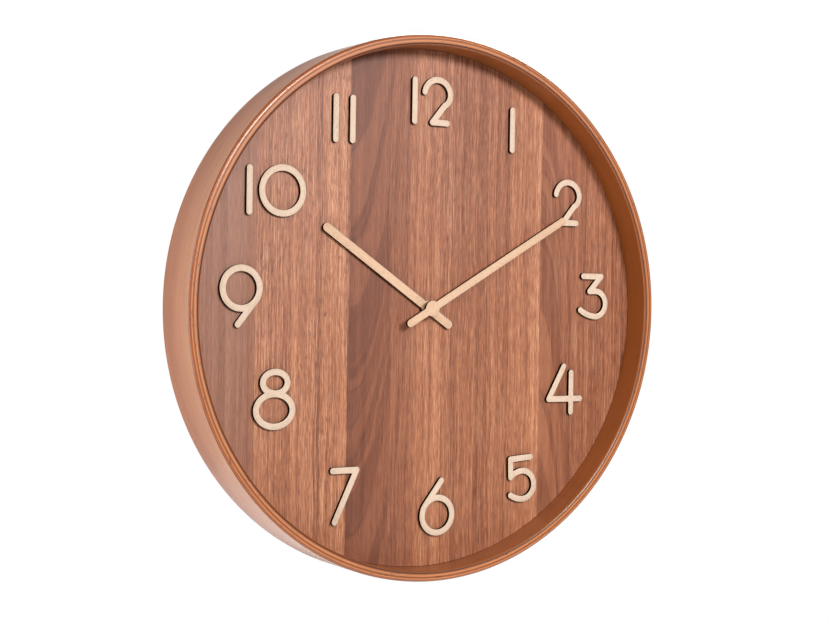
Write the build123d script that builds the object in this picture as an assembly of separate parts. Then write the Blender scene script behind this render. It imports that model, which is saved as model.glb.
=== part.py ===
from build123d import *
import math
import os

# Round wall clock: a bent plywood hoop around a recessed, veneered dial with raised wooden
# numerals, two wooden hands and a battery quartz movement behind the dial.
# Millimetres. +Z is up, the face looks along -Y, and y = 0 is the wall.
# The origin is the centre of the hanging hole, at the wall.
# "out" is always a distance in front of the wall, and x, z are measured from the hands' axis.

# Case
case_diameter = 400.0
case_depth = 45.4
hoop_wall = 7.9
front_outer_rounding = 2.4
front_inner_rounding = 1.8
back_rounding = 1.0

# Dial
rear_clearance = 2.6
veneer_thickness = 0.6
board_thickness = 5.0
board_gap = 0.2
veneer_joints = (-141.0, -66.0, 22.0, 74.0, 104.0)

# Numerals
numeral_thickness = 2.6
stroke_width = 4.75
numeral_dial_radius = 191.9  # the dial for which the numeral places are given

# Hands
hand_thickness = 2.3
hour_hand_rise = 2.9
minute_hand_rise = 9.2
hour_hand_width = 6.6
minute_hand_width = 5.9
hour_hand_reach_share = 0.556  # of the dial's radius
minute_hand_reach_share = 0.727
hand_tail = 24.9
hand_boss_radius = 6.0
hour_hand_angle = 303.6
minute_hand_angle = 59.8
hand_bush_radius = 3.4
hand_bush_gap = 0.5
hand_cup_floor = 0.4

# Hanger
hanger_drop = 44.1  # from the inside of the hoop down to the hole
nail_hole_radius = 4.0
hanger_plate_width = 80.0
hanger_plate_height = 24.0
hanger_plate_thickness = 2.0
hanger_gap = 24.0
hanger_block_height = 40.0
hanger_screw_spacing = 12.0
hanger_screw_length = 14.0

# Cleats that hold the board in the hoop
cleat_count = 8
cleat_length = 44.0
cleat_width = 14.0
cleat_thickness = 12.0
glue_gap = 0.1
cleat_screw_length = 15.5

# Wood screws
screw_radius = 1.6
screw_head_radius = 3.2
screw_head_height = 1.6
screw_tip_radius = 0.2

# Battery: the movement's width, depth and open bay follow from it
cell_radius = 7.25
cell_length = 50.5
cell_nub_length = 1.2
cell_nub_radius = 2.6
cell_gap = 0.2
contact_thickness = 0.4
contact_width = 6.0

# Movement case
movement_width = cell_length + 5.5
movement_top = 27.0
movement_depth = 2 * cell_radius + 0.5
movement_wall = 1.2
washer_thickness = 0.5
bay_top = -12.5
bay_height = 2 * cell_radius + 0.8

# Bush and the nut that clamps the movement
bush_radius = 3.9
bush_flange_radius = bush_radius + 1.6
bush_flange_thickness = 0.5
bush_end_below_dial = 0.4
counterbore_depth = 2.9
ring_nut_radius = bush_radius + 1.7
ring_nut_thickness = 1.6
counterbore_radius = ring_nut_radius + 0.3
nut_slot_depth = 0.9
nut_slot_half_width = 0.7
nut_slot_floor = 0.6
steel_washer_thickness = 0.4
steel_washer_gap = 0.05
rubber_washer_radius = 10.0

# Shafts
hour_tube_radius = 2.5
minute_arbor_radius = 1.75
seconds_arbor_radius = 0.5
pivot_radius = 0.4
pivot_length = 0.8
pivot_end_gap = 0.1
pivot_hole_depth = 0.9
train_arbor_radius = 0.6
setting_stem_radius = 0.75
running_gap = 0.06

# Wheels
train_module = 0.25
seconds_module = 0.29
rotor_module = 0.22
motion_module = 0.4
wheel_thickness = 0.6
motion_work_thickness = 1.0
centre_wheel_thickness = 0.8
third_pinion_length = 2.0
wheel_step = 1.0
pinion_overlap = 0.2
layer_gap = 0.3
tooth_root = 1.15
tooth_tip = 0.75
root_half_width = 0.28
pitch_half_width = 0.19
tip_half_width = 0.08
third_direction = 150.0
intermediate_direction = 80.0
rotor_direction = 45.0
motion_direction = 0.0
cannon_teeth = 12
motion_wheel_teeth = 36
motion_pinion_teeth = 10
hour_wheel_teeth = 40
centre_wheel_teeth = 64
third_pinion_teeth = 8
third_wheel_teeth = 60
seconds_pinion_teeth = 8
seconds_wheel_teeth = 50
intermediate_pinion_teeth = 10
intermediate_wheel_teeth = 60
rotor_pinion_teeth = 10

# Setting knob
knob_radius = 6.0
knob_thickness = 1.7
knob_gap = 0.2
knob_notches = 16
knob_notch_radius = 0.5

# Worked out from the above
case_radius = case_diameter / 2
hoop_inner = case_radius - hoop_wall
dial_radius = hoop_inner - board_gap
nail_height = hoop_inner - hanger_drop
hour_hand_reach = hour_hand_reach_share * dial_radius
minute_hand_reach = minute_hand_reach_share * dial_radius
dial_face = rear_clearance + movement_depth + washer_thickness + board_thickness + veneer_thickness
board_front = dial_face - veneer_thickness
board_back = board_front - board_thickness
movement_front = board_back - washer_thickness
movement_back = movement_front - movement_depth
plate_back = movement_front - movement_wall
floor_front = movement_back + movement_wall
movement_side = movement_width / 2
inner_side = movement_side - movement_wall
bay_floor = bay_top - bay_height
movement_bottom = bay_floor - movement_wall
cell_out = plate_back - cell_gap - cell_radius

# Wheel layers, from the front plate back to the rear wall
hour_gear_front = plate_back - bush_flange_thickness - layer_gap
hour_gear_back = hour_gear_front - motion_work_thickness
cannon_front = hour_gear_back - layer_gap
cannon_back = cannon_front - motion_work_thickness
bridge_front = cannon_back - layer_gap
bridge_back = bridge_front - wheel_thickness
centre_front = bridge_back - layer_gap
centre_back = centre_front - centre_wheel_thickness
third_front = centre_back - third_pinion_length
third_back = third_front - wheel_thickness
seconds_front = third_back - wheel_step
seconds_back = seconds_front - wheel_thickness
intermediate_front = seconds_back - wheel_step
intermediate_back = intermediate_front - wheel_thickness
magnet_back = seconds_front + layer_gap
stator_back = magnet_back + layer_gap


def polar(radius, degrees):
    turn = math.radians(degrees)
    return (radius * math.cos(turn), radius * math.sin(turn))


def pitch_radius(teeth, module):
    return teeth * module / 2


# Wheel positions: each axis stands one centre distance from the wheel that it meshes with
third_distance = pitch_radius(third_wheel_teeth + seconds_pinion_teeth, train_module)
centre_module = 2 * third_distance / (centre_wheel_teeth + third_pinion_teeth)
third_axis = polar(third_distance, third_direction)
intermediate_distance = pitch_radius(seconds_wheel_teeth + intermediate_pinion_teeth, seconds_module)
intermediate_axis = polar(intermediate_distance, intermediate_direction)
rotor_distance = pitch_radius(intermediate_wheel_teeth + rotor_pinion_teeth, rotor_module)
rotor_offset = polar(rotor_distance, rotor_direction)
rotor_axis = (intermediate_axis[0] + rotor_offset[0], intermediate_axis[1] + rotor_offset[1])
motion_distance = pitch_radius(cannon_teeth + motion_wheel_teeth, motion_module)
hour_module = 2 * motion_distance / (motion_pinion_teeth + hour_wheel_teeth)
motion_axis = polar(motion_distance, motion_direction)
centre_axis = (0.0, 0.0)


# A plane parallel to the wall, seen from the front
def wall_plane(out):
    return Plane(origin=(0, -out, 0), x_dir=(1, 0, 0), z_dir=(0, -1, 0))


# The solid of a front-view outline between two distances from the wall
def slab(outline, back, front):
    return extrude(wall_plane(back) * outline, amount=front - back)


def disc(radius, back, front, centre=(0.0, 0.0)):
    return slab(Pos(*centre) * Circle(radius), back, front)


def tube(radius, bore, back, front, centre=(0.0, 0.0)):
    return disc(radius, back, front, centre) - disc(bore, back, front, centre)


def block(left, right, bottom, top, back, front):
    outline = Pos((left + right) / 2, (bottom + top) / 2) * Rectangle(right - left, top - bottom)
    return slab(outline, back, front)


# A line of a given width with round ends
def stroke(path, width):
    return Face(Wire(path.edges()).offset_2d(width / 2))


# A countersunk wood screw whose head is flush with the plane at "out", pointing to the front
def wood_screw(x, z, out, length):
    point_length = 2 * screw_radius
    shank_end = length - point_length
    head = Cone(screw_head_radius, screw_radius, screw_head_height)
    shank = Cylinder(screw_radius, shank_end - screw_head_height)
    point = Cone(screw_radius, screw_tip_radius, point_length)
    screw = Pos(0, 0, screw_head_height / 2) * head
    screw += Pos(0, 0, (shank_end + screw_head_height) / 2) * shank
    screw += Pos(0, 0, shank_end + point_length / 2) * point
    return wall_plane(out) * Pos(x, z, 0) * screw


# Case

# The circular edges of a solid at a distance from the wall
def rim_edges(solid, out, radius):
    circles = solid.edges().filter_by(GeomType.CIRCLE)
    return [e for e in circles if abs(e.center().Y + out) < 0.01 and abs(e.radius - radius) < 0.01]


def case_hoop():
    hoop = tube(case_radius, hoop_inner, 0, case_depth)
    hoop = fillet(rim_edges(hoop, case_depth, case_radius), front_outer_rounding)
    hoop = fillet(rim_edges(hoop, case_depth, hoop_inner), front_inner_rounding)
    return fillet(rim_edges(hoop, 0, case_radius) + rim_edges(hoop, 0, hoop_inner), back_rounding)


def cleat_angles():
    return [360 * (i + 0.5) / cleat_count for i in range(cleat_count)]


def cleat_screw(degrees):
    x, z = polar(hoop_inner - cleat_width / 2, degrees)
    return wood_screw(x, z, board_back - cleat_thickness, cleat_screw_length)


def cleats():
    rim = disc(hoop_inner - glue_gap, board_back - cleat_thickness, board_back)
    pieces = []
    for degrees in cleat_angles():
        outline = Rectangle(2 * cleat_width, cleat_length)
        place = Rot(0, 0, degrees) * Pos(hoop_inner, 0)
        bar = slab(place * outline, board_back - cleat_thickness, board_back)
        pieces.append((rim & bar) - cleat_screw(degrees))
    return pieces


def cleat_screws():
    return [cleat_screw(degrees) for degrees in cleat_angles()]


# Dial

def centre_hole(back, front):
    hole = disc(bush_radius + glue_gap, back, front)
    return hole + disc(counterbore_radius, max(back, dial_face - counterbore_depth), front)


def dial_board():
    board = disc(dial_radius, board_back, board_front) - centre_hole(board_back, board_front)
    for screw in cleat_screws():
        board -= screw
    return board


def dial_veneer():
    sheet = disc(dial_radius, board_front, dial_face) - centre_hole(board_front, dial_face)
    edges = [-case_radius, *veneer_joints, case_radius]
    leaves = []
    for left, right in zip(edges, edges[1:]):
        leaves.append(sheet & block(left, right, -case_radius, case_radius, board_front, dial_face))
    return leaves


# Numerals: each digit is drawn about the middle of its own box

def zero():
    radius = 16.1
    return [Circle(radius + stroke_width / 2) - Circle(radius - stroke_width / 2)]


def one():
    return [stroke(Line((0, -15.2), (0, 15.2)), stroke_width)]


def two():
    bowl = ThreePointArc((-11.2, 6.3), (0.1, 15.9), (11.1, 7.0))
    neck = TangentArc(bowl @ 1, (6.2, -3.0), tangent=bowl % 1)
    leg = Line(neck @ 1, (-4.4, -15.9))
    foot = Line(leg @ 1, (8.6, -15.9))
    return [stroke(Wire([bowl, neck, leg, foot]), stroke_width)]


def three():
    top = Polyline((-9.7, 15.8), (8.0, 15.8), (-3.4, 3.9), (2.0, 4.1))
    bowl = ThreePointArc((2.0, 4.1), (12.5, -5.8), (1.4, -16.0))
    tail = TangentArc(bowl @ 1, (-12.3, -11.0), tangent=bowl % 1)
    return [stroke(Wire([*top.edges(), bowl, tail]), stroke_width)]


def four():
    slope = Line((-0.8, 18.0), (-15.1, -7.5))
    bar = Line((-15.1, -7.5), (15.2, -7.5))
    post = Line((6.5, 13.0), (6.5, -18.0))
    return [stroke(slope, stroke_width), stroke(bar, stroke_width), stroke(post, stroke_width)]


def five():
    top = Polyline((7.6, 16.1), (-11.1, 14.8), (-10.7, 0.9))
    shoulder = TangentArc((0.6, 5.6), (-10.7, 0.9), tangent=(-1, 0))
    bowl = ThreePointArc((0.6, 5.6), (11.2, -5.2), (0.2, -16.2))
    tail = TangentArc(bowl @ 1, (-10.6, -13.0), tangent=bowl % 1)
    return [stroke(Wire([*top.edges(), shoulder, bowl, tail]), stroke_width)]


# A loop with a straight stem that leaves it as a tangent on the left
def loop_with_stem(radius, loop_centre, stem_end):
    x, z = loop_centre
    reach = math.hypot(stem_end[0] - x, stem_end[1] - z)
    heading = math.atan2(stem_end[1] - z, stem_end[0] - x) + math.acos(radius / reach)
    touch = (x + radius * math.cos(heading), z + radius * math.sin(heading))
    loop = Circle(radius + stroke_width / 2) - Circle(radius - stroke_width / 2)
    return [Pos(x, z) * loop, stroke(Line(stem_end, touch), stroke_width)]


def six():
    return loop_with_stem(13.1, (0, -6.3), (3.5, 19.4))


def seven():
    return [stroke(Polyline((-9.8, 18.5), (9.8, 18.6), (-7.8, -18.5)), stroke_width)]


def oval(width, height, centre):
    half = stroke_width / 2
    ring = Ellipse(width / 2 + half, height / 2 + half) - Ellipse(width / 2 - half, height / 2 - half)
    return Pos(*centre) * ring


def eight():
    return [oval(19.2, 15.2, (0.2, 11.6)), oval(28.4, 23.0, (-0.3, -7.8))]


def nine():
    return [Rot(0, 0, 180) * face for face in loop_with_stem(14.05, (0, -5.6), (2.3, 19.6))]


# Hour: its middle from the hands' axis, then its digits, each with its shift from that middle
numeral_places = {
    1: (73.9, 137.3, [(one, 0, 0)]),
    2: (127.9, 84.1, [(two, 0, 0)]),
    3: (154.4, 10.9, [(three, 0, 0)]),
    4: (127.5, -62.5, [(four, 0, 0)]),
    5: (88.0, -130.4, [(five, 0, 0)]),
    6: (10.6, -148.1, [(six, 0, 0)]),
    7: (-68.7, -135.9, [(seven, 0, 0)]),
    8: (-125.6, -64.8, [(eight, 0, 0)]),
    9: (-152.6, 7.2, [(nine, 0, 0)]),
    10: (-134.4, 81.4, [(one, -12.9, -0.2), (zero, 12.8, 0.3)]),
    11: (-73.1, 135.7, [(one, -6.9, 0), (one, 6.9, 0.1)]),
    12: (-4.2, 153.7, [(one, -9.9, -0.3), (two, 9.9, 0.4)]),
}


def numeral(hour):
    x, z, digits = numeral_places[hour]
    spread = dial_radius / numeral_dial_radius
    made = []
    for digit, right, up in digits:
        place = Pos(x * spread + right, z * spread + up)
        strokes = [slab(place * face, dial_face, dial_face + numeral_thickness) for face in digit()]
        made.append(strokes[0].fuse(*strokes[1:]).clean() if len(strokes) > 1 else strokes[0])
    return made


# Hands: a bar with round ends and a round boss, pointing up until it is turned

def hand(width, reach, rise, degrees, hole):
    bar = stroke(Line((0, -hand_tail + width / 2), (0, reach - width / 2)), width)
    outline = Sketch() + bar + Circle(hand_boss_radius)
    if hole:
        outline -= Circle(hole)
    return slab(Rot(0, 0, -degrees) * outline, dial_face + rise - hand_thickness, dial_face + rise)


def hour_hand():
    return hand(hour_hand_width, hour_hand_reach, hour_hand_rise, hour_hand_angle, hand_bush_radius)


def minute_hand():
    return hand(minute_hand_width, minute_hand_reach, minute_hand_rise, minute_hand_angle, 0)


hour_plate_front = dial_face + hour_hand_rise
hour_plate_back = hour_plate_front - hand_thickness
minute_plate_back = dial_face + minute_hand_rise - hand_thickness
minute_arbor_front = minute_plate_back - hand_cup_floor


def hour_hand_bush():
    return tube(hand_bush_radius, hour_tube_radius, hour_plate_back, hour_plate_front)


def minute_hand_bush():
    back = hour_plate_front + hand_bush_gap
    cup = disc(hand_bush_radius, back, minute_plate_back)
    return cup - disc(minute_arbor_radius, back, minute_arbor_front)


# Wheels

# Outline of a toothed wheel: straight-sided teeth, thin enough to run free
def teeth_outline(teeth, module, phase):
    pitch = pitch_radius(teeth, module)
    step = 360 / teeth
    corners = []
    for i in range(teeth):
        middle = phase + i * step
        flank = [(-tooth_root, root_half_width), (0, pitch_half_width), (tooth_tip, tip_half_width)]
        corners += [polar(pitch + rise * module, middle - half * step) for rise, half in flank]
        corners += [polar(pitch + rise * module, middle + half * step) for rise, half in reversed(flank)]
    return Polygon(*corners, align=None)


# Phase of a wheel that meshes with another one of a known phase, "heading" away from it
def mesh_phase(heading, teeth, phase, other_teeth):
    return heading + 180 - (teeth / other_teeth) * (phase - heading) - 180 / other_teeth


def toothed(teeth, module, phase, back, front, centre):
    return slab(Pos(*centre) * teeth_outline(teeth, module, phase), back, front)


def minute_arbor():
    arbor = disc(minute_arbor_radius, centre_back - layer_gap, minute_arbor_front)
    arbor += toothed(cannon_teeth, motion_module, 0, cannon_back, cannon_front, centre_axis)
    return arbor - disc(seconds_arbor_radius + running_gap, centre_back - layer_gap, cannon_back)


def motion_wheel():
    wheel_phase = mesh_phase(motion_direction, cannon_teeth, 0, motion_wheel_teeth)
    wheel = toothed(motion_wheel_teeth, motion_module, wheel_phase, cannon_back, cannon_front, motion_axis)
    front = hour_gear_front
    pinion = toothed(motion_pinion_teeth, hour_module, motion_direction, cannon_front, front, motion_axis)
    stem = disc(setting_stem_radius, movement_back - knob_gap - knob_thickness, cannon_back, motion_axis)
    pivot = disc(pivot_radius, hour_gear_front, plate_back + pivot_radius, motion_axis)
    return wheel + pinion + stem + pivot


def hour_wheel():
    phase = mesh_phase(motion_direction + 180, motion_pinion_teeth, motion_direction, hour_wheel_teeth)
    wheel = toothed(hour_wheel_teeth, hour_module, phase, hour_gear_back, hour_gear_front, centre_axis)
    wheel += disc(hour_tube_radius, hour_gear_front, hour_plate_front - layer_gap)
    return wheel - disc(minute_arbor_radius + running_gap, hour_gear_back, hour_plate_front)


def centre_wheel():
    phase = mesh_phase(third_direction + 180, third_pinion_teeth, 0, centre_wheel_teeth)
    wheel = toothed(centre_wheel_teeth, centre_module, phase, centre_back, centre_front, centre_axis)
    return wheel - disc(minute_arbor_radius + running_gap, centre_back, centre_front)


# An arbor with pivots that run in the rear wall and in the bridge
def arbor(radius, back, front, axis):
    body = disc(radius, back, front, axis)
    return body + disc(pivot_radius, floor_front - pivot_length, bridge_front - pivot_end_gap, axis)


def third_wheel():
    phase = mesh_phase(third_direction, seconds_pinion_teeth, 0, third_wheel_teeth)
    wheel = toothed(third_wheel_teeth, train_module, phase, third_back, third_front, third_axis)
    pinion = toothed(third_pinion_teeth, centre_module, 0, third_front, centre_front, third_axis)
    return wheel + pinion + arbor(train_arbor_radius, floor_front + layer_gap, third_back, third_axis)


def seconds_wheel():
    wheel = toothed(seconds_wheel_teeth, seconds_module, 0, seconds_back, seconds_front, centre_axis)
    front = third_front + layer_gap
    pinion = toothed(seconds_pinion_teeth, train_module, 0, seconds_front, front, centre_axis)
    shaft = disc(seconds_arbor_radius, floor_front - pivot_length, cannon_back - layer_gap)
    return wheel + pinion + shaft


def intermediate_wheel():
    axis = intermediate_axis
    wheel = toothed(intermediate_wheel_teeth, rotor_module, 0, intermediate_back, intermediate_front, axis)
    phase = mesh_phase(intermediate_direction, seconds_wheel_teeth, 0, intermediate_pinion_teeth)
    front = seconds_front + pinion_overlap
    pinion = toothed(intermediate_pinion_teeth, seconds_module, phase, intermediate_front, front, axis)
    return wheel + pinion + arbor(train_arbor_radius, floor_front + layer_gap, intermediate_back, axis)


magnet_radius = 3.0
magnet_thickness = 1.7


def rotor_pinion():
    phase = mesh_phase(rotor_direction, intermediate_wheel_teeth, 0, rotor_pinion_teeth)
    back = intermediate_back - pinion_overlap
    front = intermediate_front + 2 * pinion_overlap
    pinion = toothed(rotor_pinion_teeth, rotor_module, phase, back, front, rotor_axis)
    return pinion + arbor(train_arbor_radius, floor_front + layer_gap, intermediate_back, rotor_axis)


def rotor_magnet():
    return tube(magnet_radius, pivot_radius, magnet_back, magnet_back + magnet_thickness, rotor_axis)


# Movement case

def movement_housing():
    shell = block(-movement_side, movement_side, movement_bottom, movement_top, movement_back, plate_back)
    bottom = bay_top + movement_wall
    top = movement_top - movement_wall
    shell -= block(-inner_side, inner_side, bottom, top, floor_front, plate_back)
    shell -= block(-inner_side, inner_side, bay_floor, bay_top, movement_back, plate_back)
    for axis in (third_axis, intermediate_axis, rotor_axis):
        shell -= disc(pivot_radius + running_gap, floor_front - pivot_hole_depth, floor_front, axis)
    shell -= disc(seconds_arbor_radius + running_gap, floor_front - pivot_hole_depth, floor_front)
    return shell - disc(setting_stem_radius + running_gap, movement_back, floor_front, motion_axis)


def movement_front_plate():
    plate = block(-movement_side, movement_side, movement_bottom, movement_top, plate_back, movement_front)
    plate -= disc(bush_radius, plate_back, movement_front)
    hole_front = plate_back + 1.5 * pivot_radius
    return plate - disc(pivot_radius + running_gap, plate_back, hole_front, motion_axis)


def movement_bush():
    bush = disc(bush_radius, plate_back, dial_face - bush_end_below_dial)
    bush += disc(bush_flange_radius, plate_back - bush_flange_thickness, plate_back)
    return bush - disc(hour_tube_radius + running_gap, plate_back - bush_flange_thickness, dial_face)


counterbore_floor = dial_face - counterbore_depth


def rubber_washer():
    return tube(rubber_washer_radius, bush_radius + glue_gap, movement_front, board_back)


def steel_washer():
    bore = bush_radius + steel_washer_gap
    return tube(ring_nut_radius, bore, counterbore_floor, counterbore_floor + steel_washer_thickness)


def ring_nut():
    back = counterbore_floor + steel_washer_thickness
    front = back + ring_nut_thickness
    deep = nut_slot_depth
    half = nut_slot_half_width
    nut = tube(ring_nut_radius, bush_radius, back, front)
    for x in (-ring_nut_radius, ring_nut_radius):
        nut -= block(x - deep, x + deep, -half, half, back + nut_slot_floor, front)
    return nut


# The bridge carries the wheels' front pivots and stands on four posts
bridge_left, bridge_right = -16.5, 19.0
bridge_bottom, bridge_top = -10.9, 17.6
post_radius = 1.2
post_places = ((-14.5, 15.0), (-14.0, -9.4), (17.0, -9.4), (17.0, 5.5))


def train_bridge():
    bridge = block(bridge_left, bridge_right, bridge_bottom, bridge_top, bridge_back, bridge_front)
    for place in post_places:
        bridge += disc(post_radius, floor_front, bridge_back, place)
    for axis in (third_axis, intermediate_axis, rotor_axis):
        bridge -= disc(pivot_radius + running_gap, bridge_back, bridge_front, axis)
    bridge -= disc(minute_arbor_radius + running_gap, bridge_back, bridge_front)
    return bridge - disc(setting_stem_radius + running_gap, bridge_back, bridge_front, motion_axis)


# Motor: the stator plate around the rotor, its core and the coil
stator_thickness = 1.0
stator_half_height = 4.3
stator_left = rotor_axis[0] - 3.6
stator_right = inner_side - 1.6
stator_bottom = rotor_axis[1] - stator_half_height
stator_shoulder = rotor_axis[1] + stator_half_height
stator_leg = 3.0
magnet_clearance = 0.4
core_height = 2.0
core_bottom = movement_top - movement_wall - 4.8
coil_centre = core_bottom + core_height / 2
coil_bore = 1.25
bobbin_radius = 1.8
winding_radius = 3.2
bobbin_flange = 0.8
bobbin_flange_radius = 3.5
bobbin_gap = 0.4


def coil_stator():
    front = stator_back + stator_thickness
    plate = block(stator_left, stator_right, stator_bottom, stator_shoulder, stator_back, front)
    for left in (stator_left, stator_right - stator_leg):
        plate += block(left, left + stator_leg, stator_shoulder, core_bottom, stator_back, front)
    return plate - disc(magnet_radius + magnet_clearance, stator_back, front, rotor_axis)


def coil_core():
    front = stator_back + stator_thickness
    return block(stator_left, stator_right, core_bottom, core_bottom + core_height, stator_back, front)


# A round piece along X, on the coil's axis
def coil_ring(radius, bore, left, right):
    ring = Cylinder(radius, right - left) - Cylinder(bore, right - left)
    out = stator_back + stator_thickness / 2
    return Pos((left + right) / 2, -out, coil_centre) * Rot(0, 90, 0) * ring


coil_left = stator_left + stator_leg + bobbin_gap
coil_right = stator_right - stator_leg - bobbin_gap


def coil_bobbin():
    bobbin = coil_ring(bobbin_radius, coil_bore, coil_left, coil_right)
    for left in (coil_left, coil_right - bobbin_flange):
        bobbin += coil_ring(bobbin_flange_radius, coil_bore, left, left + bobbin_flange)
    return bobbin


def coil_winding():
    return coil_ring(winding_radius, bobbin_radius, coil_left + bobbin_flange, coil_right - bobbin_flange)


# Electronics: a narrow board down the left side
circuit_margin = 0.6
circuit_left = -inner_side + circuit_margin
circuit_right = bridge_left - circuit_margin
circuit_middle = (circuit_left + circuit_right) / 2
circuit_bottom = bay_top + movement_wall + circuit_margin
circuit_top = movement_top - movement_wall - circuit_margin
circuit_back = floor_front + 4.2
circuit_front = circuit_back + 1.0
chip_size = 5.0
chip_thickness = 1.2
chip_bottom = 2.0
crystal_radius = 1.0
crystal_length = 6.0
crystal_height = 14.0


def circuit_board():
    return block(circuit_left, circuit_right, circuit_bottom, circuit_top, circuit_back, circuit_front)


def circuit_chip():
    left = circuit_middle - chip_size / 2
    front = circuit_front + chip_thickness
    return block(left, left + chip_size, chip_bottom, chip_bottom + chip_size, circuit_front, front)


def crystal():
    can = Cylinder(crystal_radius, crystal_length)
    return Pos(circuit_middle, -circuit_front - crystal_radius, crystal_height) * can


# Battery

cell_right = inner_side - contact_thickness - 2 * cell_gap
cell_centre = (bay_floor + bay_top) / 2
contact_out = cell_out - contact_width / 2


def battery_cell():
    body_length = cell_length - cell_nub_length
    body = Cylinder(cell_radius, body_length)
    nub = Pos(0, 0, (body_length + cell_nub_length) / 2) * Cylinder(cell_nub_radius, cell_nub_length)
    cell = body + nub
    x = cell_right - cell_nub_length - body_length / 2
    return Pos(x, -cell_out, cell_centre) * Rot(0, 90, 0) * cell


def contact_positive():
    right = inner_side - cell_gap / 2
    left = right - contact_thickness
    return block(left, right, bay_floor + 1, bay_top - 1, contact_out, contact_out + contact_width)


# A base strip with a bent leaf that presses on the cell's flat end
def contact_negative():
    base = -inner_side + contact_thickness / 2 + cell_gap / 2
    tip = cell_right - cell_length - cell_gap - contact_thickness / 2
    upright = [(base, bay_floor + 1.5), (base, bay_top - 3)]
    leaf = Polyline(*upright, (tip, cell_centre), (tip, cell_centre - 3))
    return slab(stroke(leaf, contact_thickness), contact_out, contact_out + contact_width)


def setting_knob():
    front = movement_back - knob_gap
    back = front - knob_thickness
    knob = disc(knob_radius, back, front, motion_axis)
    for i in range(knob_notches):
        x, z = polar(knob_radius, 360 * i / knob_notches)
        knob -= disc(knob_notch_radius, back, front, (motion_axis[0] + x, motion_axis[1] + z))
    return knob - disc(setting_stem_radius, back, front, motion_axis)


# Hanger: two blocks glued behind the board, bridged by a steel plate with the hanging hole

def hanger_screws():
    screws = []
    x = (hanger_gap + hanger_plate_width) / 4
    for side in (-x, x):
        for shift in (-hanger_screw_spacing / 2, hanger_screw_spacing / 2):
            screws.append(wood_screw(side, nail_height + shift, 0, hanger_screw_length))
    return screws


def hanger_blocks():
    bottom = nail_height - hanger_block_height / 2
    top = nail_height + hanger_block_height / 2
    inner = hanger_gap / 2
    outer = hanger_plate_width / 2
    pieces = []
    for left, right in ((-outer, -inner), (inner, outer)):
        piece = block(left, right, bottom, top, hanger_plate_thickness, board_back)
        for screw in hanger_screws():
            piece -= screw
        pieces.append(piece)
    return pieces


def hanger_plate():
    half = hanger_plate_width / 2
    bottom = nail_height - hanger_plate_height / 2
    top = nail_height + hanger_plate_height / 2
    plate = block(-half, half, bottom, top, 0, hanger_plate_thickness)
    plate -= disc(nail_hole_radius, 0, hanger_plate_thickness, (0, nail_height))
    for screw in hanger_screws():
        plate -= screw
    return plate


# Write each node, moved so that the hanging hole is at the origin
def save(node, made):
    pieces = made if isinstance(made, list) else [made]
    solids = [Pos(0, 0, -nail_height) * solid for piece in pieces for solid in piece.solids()]
    export_step(Compound(solids) if len(solids) > 1 else solids[0], f"parts/{node}.step")


single_nodes = (
    case_hoop,
    cleats,
    cleat_screws,
    dial_board,
    dial_veneer,
    hour_hand,
    hour_hand_bush,
    minute_hand,
    minute_hand_bush,
    minute_arbor,
    motion_wheel,
    hour_wheel,
    centre_wheel,
    third_wheel,
    seconds_wheel,
    intermediate_wheel,
    rotor_pinion,
    rotor_magnet,
    movement_housing,
    movement_front_plate,
    movement_bush,
    rubber_washer,
    steel_washer,
    ring_nut,
    train_bridge,
    coil_stator,
    coil_core,
    coil_bobbin,
    coil_winding,
    circuit_board,
    circuit_chip,
    crystal,
    battery_cell,
    contact_positive,
    contact_negative,
    setting_knob,
    hanger_blocks,
    hanger_plate,
    hanger_screws,
)

os.makedirs("parts", exist_ok=True)
for make in single_nodes:
    save(make.__name__, make())
for hour in numeral_places:
    save(f"numeral_{hour}", numeral(hour))
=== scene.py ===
import bpy
import bmesh
import math
import random
from mathutils import Matrix, Vector


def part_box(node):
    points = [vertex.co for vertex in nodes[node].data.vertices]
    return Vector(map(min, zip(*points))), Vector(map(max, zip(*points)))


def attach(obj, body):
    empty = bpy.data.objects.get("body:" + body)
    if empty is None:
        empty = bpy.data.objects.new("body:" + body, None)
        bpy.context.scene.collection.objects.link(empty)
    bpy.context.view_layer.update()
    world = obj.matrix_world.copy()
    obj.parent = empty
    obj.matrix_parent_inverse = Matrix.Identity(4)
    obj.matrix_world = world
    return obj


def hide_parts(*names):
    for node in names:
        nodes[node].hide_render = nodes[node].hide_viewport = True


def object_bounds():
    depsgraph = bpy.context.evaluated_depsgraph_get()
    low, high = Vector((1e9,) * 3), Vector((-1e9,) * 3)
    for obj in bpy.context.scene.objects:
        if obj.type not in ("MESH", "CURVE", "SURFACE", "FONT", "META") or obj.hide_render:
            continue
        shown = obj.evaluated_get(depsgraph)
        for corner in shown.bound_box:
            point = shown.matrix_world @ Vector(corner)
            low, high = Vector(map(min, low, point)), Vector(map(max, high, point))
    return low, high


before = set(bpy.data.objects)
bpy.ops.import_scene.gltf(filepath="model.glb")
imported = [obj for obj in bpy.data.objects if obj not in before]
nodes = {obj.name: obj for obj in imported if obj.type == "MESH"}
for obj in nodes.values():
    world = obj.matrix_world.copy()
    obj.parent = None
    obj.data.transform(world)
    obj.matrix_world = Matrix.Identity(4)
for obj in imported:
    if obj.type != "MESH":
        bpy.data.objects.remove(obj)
cadLow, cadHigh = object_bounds()
mm = 0.001
perMetre = 1000  # millimetres
noiseSpan = (0.3, 0.7)  # most of a noise's values lie between these

# The hands' axis, read from the minute hand's arbor, and the hoop's box
arborLow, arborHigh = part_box("minute_arbor")
axisX = (arborLow.x + arborHigh.x) / 2
axisZ = (arborLow.z + arborHigh.z) / 2
hoopLow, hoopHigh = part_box("case_hoop")
print("frame loaded:", len(nodes), "nodes")


# Small helpers for shader nodes

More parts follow.
